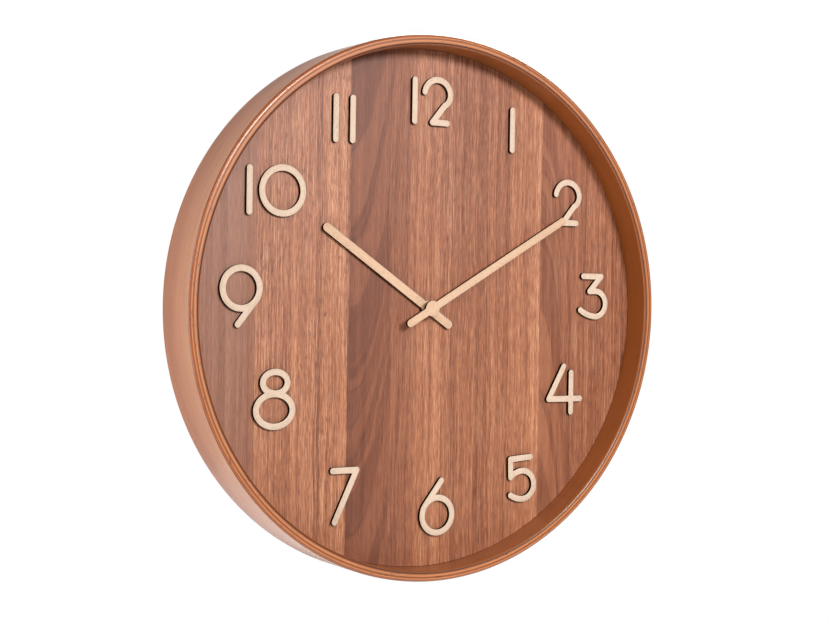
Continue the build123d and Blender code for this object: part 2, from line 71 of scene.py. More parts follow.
def startMaterial(name):
    material = bpy.data.materials.new(name)
    material.use_nodes = True
    tree = material.node_tree
    tree.nodes.clear()
    output = tree.nodes.new("ShaderNodeOutputMaterial")
    shader = tree.nodes.new("ShaderNodeBsdfPrincipled")
    tree.links.new(shader.outputs["BSDF"], output.inputs["Surface"])
    return material, tree, shader


def plug(tree, socket, value):
    if isinstance(value, bpy.types.NodeSocket):
        tree.links.new(value, socket)
    else:
        socket.default_value = value


def linearOf(red, green, blue):  # 0 to 255, as a colour picker shows them
    parts = []
    for part in (red, green, blue):
        share = part / 255
        parts.append(share / 12.92 if share <= 0.04045 else ((share + 0.055) / 1.055) ** 2.4)
    return (*parts, 1.0)


def addNode(tree, kind, inputs):
    made = tree.nodes.new("ShaderNode" + kind)
    for name, value in inputs.items():
        plug(tree, made.inputs[name], value)
    return made


def stretch(tree, vector, scale=(1, 1, 1), shift=(0, 0, 0), turn=0.0):
    inputs = {"Vector": vector, "Location": shift, "Rotation": (0, turn, 0), "Scale": scale}
    return addNode(tree, "Mapping", inputs).outputs["Vector"]


# Object coordinates in millimetres from the hands' axis, turned about it and then stretched
def place(tree, scale=(1, 1, 1), turn=0.0):
    coords = addNode(tree, "TexCoord", {}).outputs["Object"]
    centred = stretch(tree, coords, (perMetre,) * 3, (-axisX * perMetre, 0, -axisZ * perMetre))
    return stretch(tree, stretch(tree, centred, turn=turn), scale)


def split(tree, vector):
    return tuple(addNode(tree, "SeparateXYZ", {"Vector": vector}).outputs)


def join(tree, x, y, z):
    return addNode(tree, "CombineXYZ", {"X": x, "Y": y, "Z": z}).outputs[0]


def sums(tree, operation, first, second=0.0, third=0.0, clamp=False):
    made = tree.nodes.new("ShaderNodeMath")
    made.operation = operation
    made.use_clamp = clamp
    for socket, value in zip(made.inputs, (first, second, third)):
        plug(tree, socket, value)
    return made.outputs[0]


def times(tree, first, second):
    return sums(tree, "MULTIPLY", first, second)


def apart(tree, first, second):  # how far two numbers are from each other
    return sums(tree, "ABSOLUTE", sums(tree, "SUBTRACT", first, second))


def varied(tree, value, amount, base, middle=0.5):  # base, moved by how far a noise is from its middle
    return sums(tree, "MULTIPLY_ADD", sums(tree, "SUBTRACT", value, middle), amount, base)


def fromAxis(tree, x, z):  # distance from the hands' axis
    return sums(tree, "SQRT", sums(tree, "ADD", times(tree, x, x), times(tree, z, z)))


def noise(tree, vector, detail=3.0, roughness=0.55, distortion=0.0):
    inputs = {"Vector": vector, "Scale": 1.0, "Detail": detail}
    inputs.update({"Roughness": roughness, "Distortion": distortion})
    return addNode(tree, "TexNoise", inputs).outputs["Fac"]


def lineNoise(tree, along, detail, roughness):  # noise along one number
    made = addNode(tree, "TexNoise", {"Scale": 1.0, "Detail": detail, "Roughness": roughness})
    made.noise_dimensions = "1D"
    plug(tree, made.inputs["W"], along)
    return made.outputs["Fac"]


def cells(tree, vector):
    return addNode(tree, "TexVoronoi", {"Vector": vector, "Scale": 1.0}).outputs["Distance"]


def ramp(tree, fac, stops, interpolation="LINEAR"):
    made = tree.nodes.new("ShaderNodeValToRGB")
    made.color_ramp.interpolation = interpolation
    elements = made.color_ramp.elements
    elements[0].position = stops[0][0]
    elements[1].position = stops[-1][0]
    for position, colour in stops[1:-1]:
        elements.new(position)
    for element, (position, colour) in zip(elements, stops):
        element.color = colour if isinstance(colour, tuple) else (colour, colour, colour, 1)
    tree.links.new(fac, made.inputs["Fac"])
    return made.outputs["Color"]


def band(tree, value, low, high, toLow=0.0, toHigh=1.0):  # a clamped change of range
    inputs = {"Value": value, "From Min": low, "From Max": high, "To Min": toLow, "To Max": toHigh}
    return addNode(tree, "MapRange", inputs).outputs["Result"]


def blendColour(tree, fac, first, second, kind="MIX"):
    made = tree.nodes.new("ShaderNodeMix")
    made.data_type = "RGBA"
    made.blend_type = kind
    plug(tree, made.inputs[0], fac)
    plug(tree, made.inputs[6], first)
    plug(tree, made.inputs[7], second)
    return made.outputs[2]


def relief(tree, shader, height, depth, strength):  # depth in millimetres
    bump = addNode(tree, "Bump", {"Strength": strength, "Distance": depth * mm, "Height": height})
    tree.links.new(bump.outputs["Normal"], shader.inputs["Normal"])


def paint(tree, shader, colour, rough):
    tree.links.new(colour, shader.inputs["Base Color"])
    tree.links.new(rough, shader.inputs["Roughness"])


def facing(tree, axis):  # how squarely the surface looks along X, Y or Z, either way
    normal = addNode(tree, "TexCoord", {}).outputs["Normal"]
    return sums(tree, "ABSOLUTE", split(tree, normal)[axis])


# Walnut veneer of the dial: six leaves with upright grain, two of them with arched figure

dialWalnut = {
    "leaves": [  # where each leaf starts, in millimetres from the hands' axis, and its tones across
        (-200, [(-200, 0.40), (-141, 0.44)]),
        (-141, [(-141, 0.52), (-100, 0.55), (-66, 0.62)]),
        (-66, [(-66, 0.30), (-40, 0.33), (-22, 0.42), (-4, 0.57), (22, 0.55)]),
        (22, [(22, 0.45), (50, 0.46), (74, 0.48)]),
        (74, [(74, 0.56), (104, 0.61)]),
        (104, [(104, 0.46), (130, 0.43), (150, 0.48), (200, 0.40)]),
    ],
    "span": 400.0,  # millimetres that the tones are spread over
    "jointInset": 0.02,  # keeps the tones of two leaves apart at their joint
    "hairline": (0.1, 0.5),  # half widths of the dark line at a joint, in millimetres
    "hairlineDepth": 0.35,
    "seeds": (0.13, 0.37, 0.61, 0.29, 0.83, 0.47),  # each leaf's own place in the noises
    "seedSpread": 900.0,
    "sway": 5.0,  # how far the grain wanders sideways, in millimetres
    "swayClose": 0.012,
    "patterns": {  # closeness along X, Y and Z, a shift, detail and roughness of each noise
        "broad": ((0.085, 1, 0.0035), 0, 2, 0.55),
        "streak": ((0.6, 1, 0.006), 0, 3, 0.6),
        "fleck": ((1.3, 1, 0.09), 0, 3, 0.65),
        "pale": ((1.25, 1, 0.018), 40, 2, 0.55),
        "pore": ((1.3, 1, 0.13), 80, 2, 0.55),
        "busy": ((0.04, 1, 0.009), 20, 2, 0.55),
        "ripple": ((0.16, 1, 0.11), 0, 3, 0.55),
    },
    "ringClose": 0.16,
    "weights": {"broad": 0.34, "ring": 0.50, "streak": 0.70, "fleck": 1.15, "ripple": 0.12},
    "tones": {
        "dark": (0.05, linearOf(84, 40, 24)),
        "low": (0.30, linearOf(122, 68, 44)),
        "middle": (0.50, linearOf(150, 92, 64)),
        "high": (0.70, linearOf(180, 118, 86)),
        "light": (0.98, linearOf(214, 162, 130)),
    },
    "archLeaf": 2,  # the leaf whose arches climb, and the one whose arches fall
    "fallLeaf": 5,
    "archFrom": -66.0,  # where the arches stand on their joint
    "fallFrom": 103.0,
    "archReach": (58, 20),  # they fade out between these distances from it
    "fallReach": (52, 14),
    "archRise": 0.085,  # how fast they climb or fall, per millimetre squared
    "fallRise": 0.17,
    "archBend": 60.0,
    "archClose": 0.018,
    "archStep": (0.44, 0.56),
    "archTones": (-0.7, 0.3),
    "archLine": 0.018,  # the thin dark line at the edge of a ring, and its tone
    "archLineTone": -0.7,
    "figureTone": 0.15,  # how strongly the arches show
    "figureCalm": 0.62,  # how much plainer the wood is between them
    "lineDepth": 0.65,  # the thin pale lines, and the short dark pores between them
    "poreDepth": 0.60,
    "poreSink": 0.6,
    "markSpan": (0.56, 0.63),
    "busySpan": (0.38, 0.60),
    "quiet": 0.5,  # share of the lines and pores left in calm wood
    "liveliness": [  # the same across the dial
        (-200, 0.10), (-141, 1.0), (-66, 0.30), (-22, 0.45),
        (-4, 0.75), (22, 0.55), (74, 0.65), (200, 0.65),
    ],
    "leftCalm": 0.45,  # the first leaf is plainer
    "leftEdge": (-142, -140),
    "leftTint": (1.04, 1.30, 1.70, 1.0),  # greyer first leaf: partly the wood's own tone, partly a painted sheen of the varnish
    "leftFade": (-150, -138),
    "lowTint": (1.0, 0.94, 0.80, 1.0),  # warmer towards the bottom
    "lowFade": (-190, 120),
    "roughness": (0.40, 0.56),
    "coat": 0.12,
    "coatRoughness": 0.32,
    "relief": (0.12, 0.35),  # depth in millimetres, and strength
}


def acrossDial(pairs):  # stops along X, from millimetres
    span = dialWalnut["span"]
    return [((x + span / 2) / span, value) for x, value in pairs]


def makeWalnut():
    look = dialWalnut
    material, tree, shader = startMaterial("dialWalnut")
    dark, light = look["tones"]["dark"][1], look["tones"]["light"][1]
    x, y, z = split(tree, place(tree))
    across = band(tree, x, -look["span"] / 2, look["span"] / 2)
    starts = [start for start, steps in look["leaves"]]
    seed = ramp(tree, across, acrossDial(list(zip(starts, look["seeds"]))), "CONSTANT")
    inset = look["jointInset"]
    stops = []
    for start, steps in look["leaves"]:
        stops += [(at + (inset if at == start else -inset), tone) for at, tone in steps]
    tone = ramp(tree, across, acrossDial(stops))
    leaf = times(tree, seed, look["seedSpread"])
    close = look["swayClose"]
    sway = noise(tree, join(tree, times(tree, x, close), leaf, times(tree, z, close)))
    swayed = varied(tree, sway, look["sway"], x)
    grain = join(tree, swayed, leaf, z)

    patterns = {}
    for name, (scale, shift, detail, roughness) in look["patterns"].items():
        vector = stretch(tree, grain, scale, (0, shift, 0))
        patterns[name] = noise(tree, vector, detail=detail, roughness=roughness)
    patterns["ring"] = lineNoise(tree, sums(tree, "MULTIPLY_ADD", swayed, look["ringClose"], leaf), 3.0, 0.6)

    def onLeaf(chosen):  # one on the chosen leaf and zero on the others
        stops = [(start, float(i == chosen)) for i, start in enumerate(starts)]
        return ramp(tree, across, acrossDial(stops), "CONSTANT")

    def ringTones(along):  # steps of tone along an arch, each with a thin dark line at its edge
        rings = lineNoise(tree, times(tree, along, look["archClose"]), 2.0, 0.45)
        line = band(tree, apart(tree, rings, 0.5), 0.0, look["archLine"], look["archLineTone"], 0.0)
        return sums(tree, "ADD", band(tree, rings, *look["archStep"], *look["archTones"]), line)

    # Arched figure: the rings are curves that leave the joint and sweep up, or down on the right
    bend = times(tree, sums(tree, "SUBTRACT", sway, 0.5), look["archBend"])
    fromJoint = sums(tree, "SUBTRACT", x, look["archFrom"])
    arch = times(tree, times(tree, fromJoint, fromJoint), -look["archRise"])
    arch = sums(tree, "ADD", sums(tree, "ADD", z, arch), bend)
    fromRight = sums(tree, "SUBTRACT", x, look["fallFrom"])
    rightArch = times(tree, times(tree, fromRight, fromRight), -look["fallRise"])
    rightArch = sums(tree, "SUBTRACT", sums(tree, "ADD", rightArch, bend), z)
    nearLeft = times(tree, band(tree, fromJoint, *look["archReach"]), onLeaf(look["archLeaf"]))
    nearRight = times(tree, band(tree, fromRight, *look["fallReach"]), onLeaf(look["fallLeaf"]))
    figure = times(tree, ringTones(arch), nearLeft)
    figure = sums(tree, "MULTIPLY_ADD", ringTones(rightArch), nearRight, figure)
    plain = sums(tree, "ADD", nearLeft, nearRight, clamp=True)
    lively = sums(tree, "MULTIPLY_ADD", plain, -look["figureCalm"], 1.0)
    lively = times(tree, lively, band(tree, x, *look["leftEdge"], look["leftCalm"], 1.0))

    value = sums(tree, "MULTIPLY_ADD", figure, look["figureTone"], tone)
    for name, weight in look["weights"].items():
        change = times(tree, sums(tree, "SUBTRACT", patterns[name], 0.5), weight)
        value = sums(tree, "MULTIPLY_ADD", change, lively, value)
    colour = ramp(tree, value, list(look["tones"].values()))
    lined = times(tree, band(tree, patterns["busy"], *look["busySpan"], look["quiet"], 1.0), lively)
    lined = times(tree, lined, ramp(tree, across, acrossDial(look["liveliness"]), "CONSTANT"))
    lines = times(tree, band(tree, patterns["pale"], *look["markSpan"]), lined)
    colour = blendColour(tree, times(tree, lines, look["lineDepth"]), colour, light)
    pores = times(tree, band(tree, patterns["pore"], *look["markSpan"]), lined)
    colour = blendColour(tree, times(tree, pores, look["poreDepth"]), colour, dark)
    # Tints by place: the first leaf greyer, partly its own tone and partly a painted sheen of the varnish;
    # the dial warmer towards the bottom
    for along, side in ((x, "left"), (z, "low")):
        fade = band(tree, along, *look[side + "Fade"], 1.0, 0.0)
        tinted = blendColour(tree, 1.0, colour, look[side + "Tint"], "MULTIPLY")
        colour = blendColour(tree, fade, colour, tinted)
    for joint in starts[1:]:
        line = band(tree, apart(tree, x, joint), *look["hairline"], look["hairlineDepth"], 0.0)
        colour = blendColour(tree, line, colour, dark)
    paint(tree, shader, colour, band(tree, patterns["streak"], *noiseSpan, *look["roughness"]))
    shader.inputs["Coat Weight"].default_value = look["coat"]
    shader.inputs["Coat Roughness"].default_value = look["coatRoughness"]
    height = sums(tree, "SUBTRACT", patterns["streak"], times(tree, pores, look["poreSink"]))
    relief(tree, shader, height, *look["relief"])
    return material


# Bent plywood of the hoop: plies show on the front and back edges, grain runs around the walls

hoopPly = {
    "outerFace": linearOf(172, 112, 82),
    "outerFrontPaintedLight": linearOf(194, 136, 104),  # painted light and shade: the outer wall paler towards the front, darker towards the back
    "innerFace": linearOf(148, 76, 14),
    "plyLight": linearOf(186, 115, 66),
    "plyOrange": linearOf(148, 74, 20),
    # Dark glue between plies; the wide band of it beside the inner face is also painted shade of the inner
    # front rounding
    "glueLineAndShade": linearOf(46, 16, 6),
    "mark": linearOf(84, 42, 24),
    "markDepth": 0.7,
    "drift": 0.9,  # how far the plies wander, in millimetres
    "veneer": (0.25, 0.05),  # the outer layer starts and is whole this far in, in millimetres
    "paintedLightAlongY": (-12, -40),  # where the painted light and shade on the outer wall changes, places along Y, in millimetres
    "roughness": (0.42, 0.56),
    "coat": 0.6,
    "coatRoughness": 0.19,
    "relief": (0.06, 0.35),
}


def makeHoopPly():
    look = hoopPly
    material, tree, shader = startMaterial("hoopPly")
    x, y, z = split(tree, place(tree))
    radius = fromAxis(tree, x, z)
    outside = (hoopHigh.x - hoopLow.x) / 2 * perMetre
    wall = hoopShape["wall"] * perMetre
    wander = noise(tree, join(tree, times(tree, x, 0.014), 3.0, times(tree, z, 0.014)), detail=2)
    drifted = varied(tree, wander, look["drift"], radius)
    depthIn = band(tree, drifted, outside - wall, outside)
    light, orange, glueAndShade = look["plyLight"], look["plyOrange"], look["glueLineAndShade"]
    # Plies from the inner face out; the dark band at 0.13 to 0.20 is partly glue, partly painted shade of the
    # inner front rounding
    plies = ramp(tree, depthIn, [
        (0.00, look["innerFace"]), (0.10, look["innerFace"]), (0.13, glueAndShade), (0.20, glueAndShade), (0.23, orange),
        (0.29, orange), (0.32, light), (0.49, light), (0.52, glueAndShade), (0.56, orange), (0.64, orange),
        (0.67, light), (0.74, light), (0.77, orange), (0.93, orange), (0.96, glueAndShade), (1.0, look["outerFace"]),
    ])
    # Painted light and shade: the outer wall is coloured paler towards the front and darker towards the back
    outerFace = blendColour(tree, band(tree, y, *look["paintedLightAlongY"]), look["outerFace"], look["outerFrontPaintedLight"])
    start, whole = look["veneer"]
    plies = blendColour(tree, band(tree, radius, outside - start, outside - whole), plies, outerFace)

    # Grain and small marks, drawn out along the circumference
    across = sums(tree, "SUBTRACT", radius, y)
    sweep = join(tree, times(tree, x, 0.035), across, times(tree, z, 0.035))
    fine = noise(tree, stretch(tree, sweep, (1, 1.9, 1)), detail=4, roughness=0.6)
    broad = noise(tree, stretch(tree, sweep, (0.5, 0.22, 0.5)), detail=3)
    blotch = noise(tree, place(tree, (0.03, 0.05, 0.03)), detail=3)
    speck = noise(tree, place(tree, (0.9, 0.9, 0.9)), detail=2)
    value = varied(tree, fine, 0.75, 0.5)
    value = varied(tree, broad, 0.5, value)
    value = varied(tree, blotch, 0.3, value)
    shade = ramp(tree, value, [(0.15, 0.70), (0.5, 1.0), (0.85, 1.16)])
    colour = blendColour(tree, 1.0, plies, shade, "MULTIPLY")
    dash = noise(tree, stretch(tree, sweep, (5.0, 0.8, 5.0)), detail=1)
    edgeOn = facing(tree, 1)
    marks = times(tree, band(tree, dash, 0.66, 0.72), band(tree, edgeOn, 0.3, 0.8))
    colour = blendColour(tree, times(tree, marks, look["markDepth"]), colour, look["mark"])
    paint(tree, shader, colour, band(tree, speck, *noiseSpan, *look["roughness"]))
    shader.inputs["Coat Weight"].default_value = look["coat"]
    shader.inputs["Coat Roughness"].default_value = look["coatRoughness"]
    height = sums(tree, "ADD", fine, times(tree, speck, 0.25))
    relief(tree, shader, height, *look["relief"])
    return material


# Pale plywood of the numerals and the hands, with edges burnt dark by the cut, made near-black partly as
# painted shade

paleWood = {
    "face": {"numeral": linearOf(214, 190, 168), "hand": linearOf(214, 179, 150)},
    "faceLow": {"numeral": linearOf(180, 146, 120), "hand": linearOf(176, 134, 100)},
    # Edges near-black: partly the burnt colour, partly painted shade of the side faces and of the contact
    # shadow beside them
    "edge": linearOf(1, 1, 1),
    "edgeBrown": linearOf(10, 5, 3),
    "flat": (0.86, 0.99),  # how squarely a surface faces forwards or back where it turns pale
    "roughness": (0.6, 0.75),
    "specular": 0.08,
    "relief": (0.05, 0.25),
}


def makePaleWood(name, kind, turn=0.0):  # turn is how far the grain leans from upright
    look = paleWood
    material, tree, shader = startMaterial(name)
    fibre = noise(tree, place(tree, (1.5, 1, 0.5), turn), detail=1, roughness=0.5)
    cloud = noise(tree, place(tree, (0.09, 1, 0.02), turn), detail=2)
    value = varied(tree, fibre, 0.7, 0.56)
    value = varied(tree, cloud, 0.3, value)
    face = ramp(tree, value, [(0.1, look["faceLow"][kind]), (0.6, look["face"][kind])])
    soot = noise(tree, place(tree, (0.8, 2.5, 0.8)), detail=3)
    # Burnt edges, darkened partly as painted shade
    edge = ramp(tree, soot, [(0.35, look["edge"]), (0.7, look["edgeBrown"])])
    flat = band(tree, facing(tree, 1), *look["flat"])
    colour = blendColour(tree, flat, edge, face)
    paint(tree, shader, colour, band(tree, fibre, *noiseSpan, *look["roughness"]))
    shader.inputs["Specular IOR Level"].default_value = look["specular"]
    relief(tree, shader, fibre, *look["relief"])
    return material


# Raw softwood of the cleats and the hanger blocks, with growth rings and a little dust

cleatPine = {
    "early": linearOf(206, 166, 118),
    "late": linearOf(164, 112, 66),
    "dust": linearOf(186, 142, 96),
    "ringWidth": 3.2,  # millimetres
    "ringSway": 14.0,
    "ringSlope": 0.55,  # the rings lean this much with depth
    "roughness": (0.62, 0.82),
    "relief": (0.15, 0.5),
}


def makePine():
    look = cleatPine
    material, tree, shader = startMaterial("cleatPine")
    sway = noise(tree, place(tree, (0.03, 0.05, 0.03)), detail=2)
    x, y, z = split(tree, place(tree))
    radius = fromAxis(tree, x, z)
    slope = sums(tree, "MULTIPLY_ADD", y, look["ringSlope"], radius)
    along = sums(tree, "MULTIPLY_ADD", sway, look["ringSway"], slope)
    rings = sums(tree, "FRACT", sums(tree, "DIVIDE", along, look["ringWidth"]))
    late = band(tree, rings, 0.62, 0.98)
    fibre = noise(tree, place(tree, (0.8, 1.6, 0.8)), detail=4, roughness=0.65)
    colour = blendColour(tree, late, look["early"], look["late"])
    shade = ramp(tree, fibre, [(0.3, 0.82), (0.7, 1.08)])
    colour = blendColour(tree, 1.0, colour, shade, "MULTIPLY")
    dust = noise(tree, place(tree, (0.05, 0.05, 0.05)), detail=3)
    colour = blendColour(tree, band(tree, dust, 0.5, 0.8, 0.0, 0.35), colour, look["dust"])
    paint(tree, shader, colour, band(tree, fibre, *noiseSpan, *look["roughness"]))
    relief(tree, shader, sums(tree, "ADD", fibre, times(tree, late, 0.4)), *look["relief"])
    return material


# Sanded fibreboard behind the veneer, with short pale fibres

boardCore = {
    "face": linearOf(168, 128, 88),
    "dark": linearOf(132, 94, 60),
    "fleck": linearOf(204, 172, 130),
    "fleckDepth": 0.5,
    "roughness": (0.68, 0.85),
    "relief": (0.1, 0.4),
}


def makeBoard():
    look = boardCore
    material, tree, shader = startMaterial("boardCore")
    felt = noise(tree, place(tree, (0.55, 0.55, 0.55)), detail=5, roughness=0.7, distortion=0.6)
    cloud = noise(tree, place(tree, (0.012, 0.012, 0.012)), detail=3)
    hair = noise(tree, place(tree, (2.4, 1, 0.35), 0.6), detail=2)
    cross = noise(tree, place(tree, (0.35, 1, 2.4), 0.3), detail=2)
    value = varied(tree, felt, 0.9, 0.5)
    value = varied(tree, cloud, 0.6, value)
    colour = ramp(tree, value, [(0.2, look["dark"]), (0.62, look["face"])])
    deep = look["fleckDepth"]
    hairs = sums(tree, "MAXIMUM", band(tree, hair, 0.62, 0.7, 0, deep), band(tree, cross, 0.64, 0.7, 0, deep))
    colour = blendColour(tree, hairs, colour, look["fleck"])
    paint(tree, shader, colour, band(tree, felt, *noiseSpan, *look["roughness"]))
    relief(tree, shader, felt, *look["relief"])
    return material


# Metals, brushed, patchy and a little worn

metals = {  # light tone, dark tone, brushing, roughness where clean and where worn
    "zincSteel": ((176, 179, 182), (122, 126, 132), (0.3, 0.3, 0.3), 0.42, 0.6),
    "springSteel": ((206, 206, 202), (150, 150, 148), (0.5, 3.0, 0.2), 0.22, 0.38),
    "brass": ((214, 176, 104), (150, 112, 56), (2.5, 0.2, 2.5), 0.24, 0.42),
    "aluminium": ((214, 214, 216), (168, 168, 172), (2.0, 0.2, 2.0), 0.26, 0.42),
    "copperWire": ((206, 112, 62), (120, 50, 26), (0.3, 0.3, 0.3), 0.25, 0.4),
    "magnetCore": ((112, 112, 116), (60, 60, 64), (1.2, 1.2, 1.2), 0.4, 0.6),
    "cellSteel": ((208, 208, 206), (160, 160, 160), (0.2, 1.6, 1.6), 0.2, 0.36),
}
wirePitch = 0.24  # millimetres from one turn of the coil's wire to the next


def makeMetal(name):
    light, dark, brush, clean, worn = metals[name]
    material, tree, shader = startMaterial(name)
    brushed = noise(tree, place(tree, brush), detail=4, roughness=0.6)
    patches = noise(tree, place(tree, (0.12, 0.12, 0.12)), detail=4, roughness=0.65)
    value = varied(tree, brushed, 0.7, 0.5)
    value = varied(tree, patches, 0.8, value)
    if name == "zincSteel":  # spangle of the zinc
        spangle = cells(tree, place(tree, (0.35, 0.35, 0.35)))
        value = varied(tree, spangle, 0.35, value, 0.4)
    colour = ramp(tree, value, [(0.2, linearOf(*dark)), (0.75, linearOf(*light))])
    paint(tree, shader, colour, band(tree, value, 0.2, 0.8, worn, clean))
    shader.inputs["Metallic"].default_value = 1.0
    height = brushed
    if name == "copperWire":  # turns of wire beside each other along the coil
        x, y, z = split(tree, place(tree))
        turns = sums(tree, "SINE", times(tree, x, 2 * math.pi / wirePitch))
        height = sums(tree, "MULTIPLY_ADD", turns, 0.5, brushed)
    relief(tree, shader, height, 0.05, 0.4)
    return material


# Moulded plastics and rubber

plastics = {  # colour, worn colour, roughness, closeness of the mould's texture
    "blackPlastic": ((26, 26, 28), (54, 54, 57), (0.42, 0.6), 1.6),
    "whitePlastic": ((226, 225, 218), (206, 203, 192), (0.3, 0.42), 0.8),
    "redPlastic": ((178, 34, 26), (142, 24, 20), (0.3, 0.45), 1.0),
    "washerRubber": ((30, 30, 30), (52, 51, 50), (0.7, 0.85), 1.2),
}


def makePlastic(name):
    base, worn, rough, grain = plastics[name]
    material, tree, shader = startMaterial(name)
    spark = noise(tree, place(tree, (grain,) * 3), detail=3, roughness=0.7)
    flow = noise(tree, place(tree, (0.06, 0.06, 0.02)), detail=3, distortion=0.8)
    scuff = noise(tree, place(tree, (0.9, 0.2, 0.12), 0.7), detail=3)
    value = varied(tree, flow, 0.8, 0.35)
    value = varied(tree, spark, 0.3, value)
    colour = ramp(tree, value, [(0.2, linearOf(*base)), (0.9, linearOf(*worn))])
    scratches = band(tree, scuff, 0.66, 0.74)
    colour = blendColour(tree, times(tree, scratches, 0.5), colour, linearOf(*worn))
    paint(tree, shader, colour, band(tree, spark, *noiseSpan, *rough))
    relief(tree, shader, spark, 0.08, 0.45)
    return material


# Green lacquer over copper tracks

circuitLacquer = {
    "lacquer": linearOf(14, 74, 40),
    "lacquerLight": linearOf(24, 98, 54),
    "track": linearOf(66, 138, 72),
    "trackPitch": 1.6,  # millimetres
    "roughness": (0.25, 0.4),
}


def makeCircuit():
    look = circuitLacquer
    material, tree, shader = startMaterial("circuitLacquer")
    x, y, z = split(tree, place(tree))
    tracks = sums(tree, "SINE", times(tree, x, 2 * math.pi / look["trackPitch"]))
    jogs = noise(tree, place(tree, (0.3, 1, 0.25)), detail=1)
    copper = times(tree, band(tree, tracks, 0.2, 0.5), band(tree, jogs, 0.45, 0.5))
    weave = noise(tree, place(tree, (2, 2, 2)), detail=2)
    lacquer = ramp(tree, weave, [(0.3, look["lacquer"]), (0.7, look["lacquerLight"])])
    colour = blendColour(tree, copper, lacquer, look["track"])
    paint(tree, shader, colour, band(tree, weave, *noiseSpan, *look["roughness"]))
    relief(tree, shader, copper, 0.04, 0.5)
    return material


# Printed film around the battery cell

cellJacket = {
    "dark": linearOf(22, 24, 30),
    "darkWorn": linearOf(44, 46, 54),
    "band": linearOf(196, 120, 58),
    "bandStart": 0.72,  # share of the cell's length, from its flat end
    "stripe": (0.05, 0.035),  # a thin line of the same colour starts and ends this far before it
    "roughness": (0.2, 0.32),
    "metallic": 0.45,
    "coat": 0.4,
}


def makeJacket():
    look = cellJacket
    material, tree, shader = startMaterial("cellJacket")
    low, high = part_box("battery_cell")
    x, y, z = split(tree, place(tree))
    share = band(tree, x, (low.x - axisX) / mm, (high.x - axisX) / mm)
    fine = noise(tree, place(tree, (0.15, 2.2, 2.2)), detail=3)
    scuff = noise(tree, place(tree, (0.5, 0.9, 0.9)), detail=4, roughness=0.7)
    dark = ramp(tree, scuff, [(0.4, look["dark"]), (0.8, look["darkWorn"])])
    start = look["bandStart"]
    coloured = ramp(tree, share, [(0, 0.0), (start, 1.0)], "CONSTANT")
    colour = blendColour(tree, coloured, dark, look["band"])
    before, after = look["stripe"]
    thin = ramp(tree, share, [(0, 0.0), (start - before, 1.0), (start - after, 0.0)], "CONSTANT")
    colour = blendColour(tree, thin, colour, look["band"])
    paint(tree, shader, colour, band(tree, fine, *noiseSpan, *look["roughness"]))
    shader.inputs["Metallic"].default_value = look["metallic"]
    shader.inputs["Coat Weight"].default_value = look["coat"]
    relief(tree, shader, scuff, 0.03, 0.3)
    return material


def dress(nodeName, material):  # a CAD node keeps its shape and gets a finish
    data = nodes[nodeName].data
    data.materials.clear()
    data.materials.append(material)
    for polygon in data.polygons:
        polygon.material_index = 0


weld = 2e-6  # corners nearer than this are one, in metres
sharpAngle = math.radians(38)


def addPiece(name, bm, materials, body, replaced=()):
    mesh = bpy.data.meshes.new(name)
    bm.to_mesh(mesh)
    bm.free()
    for material in materials:
        mesh.materials.append(material)
    for polygon in mesh.polygons:
        polygon.use_smooth = True
    mesh.set_sharp_from_angle(angle=sharpAngle)
    piece = bpy.data.objects.new(name, mesh)
    bpy.context.scene.collection.objects.link(piece)
    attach(piece, body)
    if replaced:
        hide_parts(*replaced)
    return piece


# The solid of a closed (radius, along) profile turned about a line through centre
def turnProfile(bm, profile, centre, along, steps):
    along = Vector(along).normalized()
    side = along.orthogonal().normalized()
    rings = []
    for i in range(steps):
        turn = Matrix.Rotation(2 * math.pi * i / steps, 3, along)
        arm = turn @ side
        rings.append([bm.verts.new(Vector(centre) + arm * r + along * a) for r, a in profile])
    for i, ring in enumerate(rings):
        after = rings[(i + 1) % steps]
        for k in range(len(profile)):
            m = (k + 1) % len(profile)
            bm.faces.new((ring[k], after[k], after[m], ring[m]))
    bmesh.ops.remove_doubles(bm, verts=bm.verts, dist=1e-7)
    bmesh.ops.recalc_face_normals(bm, faces=bm.faces)


def arc(centre, radius, startDegrees, endDegrees, steps):
    points = []
    for i in range(steps + 1):
        turn = math.radians(startDegrees + (endDegrees - startDegrees) * i / steps)
        points.append((centre[0] + radius * math.cos(turn), centre[1] + radius * math.sin(turn)))
    return points


# Hoop

hoopShape = {
    "wall": 7.9 * mm,
    "frontOuter": 2.4 * mm,
    "frontInner": 1.8 * mm,
    "back": 1.0 * mm,
    "support": 0.35 * mm,  # keeps the flat faces flat beside the roundings
    "frontSteps": 8,
    "backSteps": 4,
    "steps": 384,
}


def makeHoop():
    shape = hoopShape
    outer = (hoopHigh.x - hoopLow.x) / 2
    inner = outer - shape["wall"]
    depth = hoopHigh.y - hoopLow.y
    keep = shape["support"]
    big, small, rear = shape["frontOuter"], shape["frontInner"], shape["back"]
    fine, coarse = shape["frontSteps"], shape["backSteps"]
    profile = arc((outer - big, depth - big), big, 0, 90, fine)
    profile += [(outer - big - keep, depth), (inner + small + keep, depth)]
    profile += arc((inner + small, depth - small), small, 90, 180, fine)
    profile += [(inner, depth - small - keep), (inner, rear + keep)]
    profile += arc((inner + rear, rear), rear, 180, 270, coarse)
    profile += [(inner + rear + keep, 0), (outer - rear - keep, 0)]
    profile += arc((outer - rear, rear), rear, 270, 360, coarse)
    profile += [(outer, rear + keep), (outer, depth - big - keep)]
    bm = bmesh.new()
    turnProfile(bm, profile, (axisX, hoopHigh.y, axisZ), (0, -1, 0), shape["steps"])
    return addPiece("hoop", bm, [hoopWood], "case", ["case_hoop"])


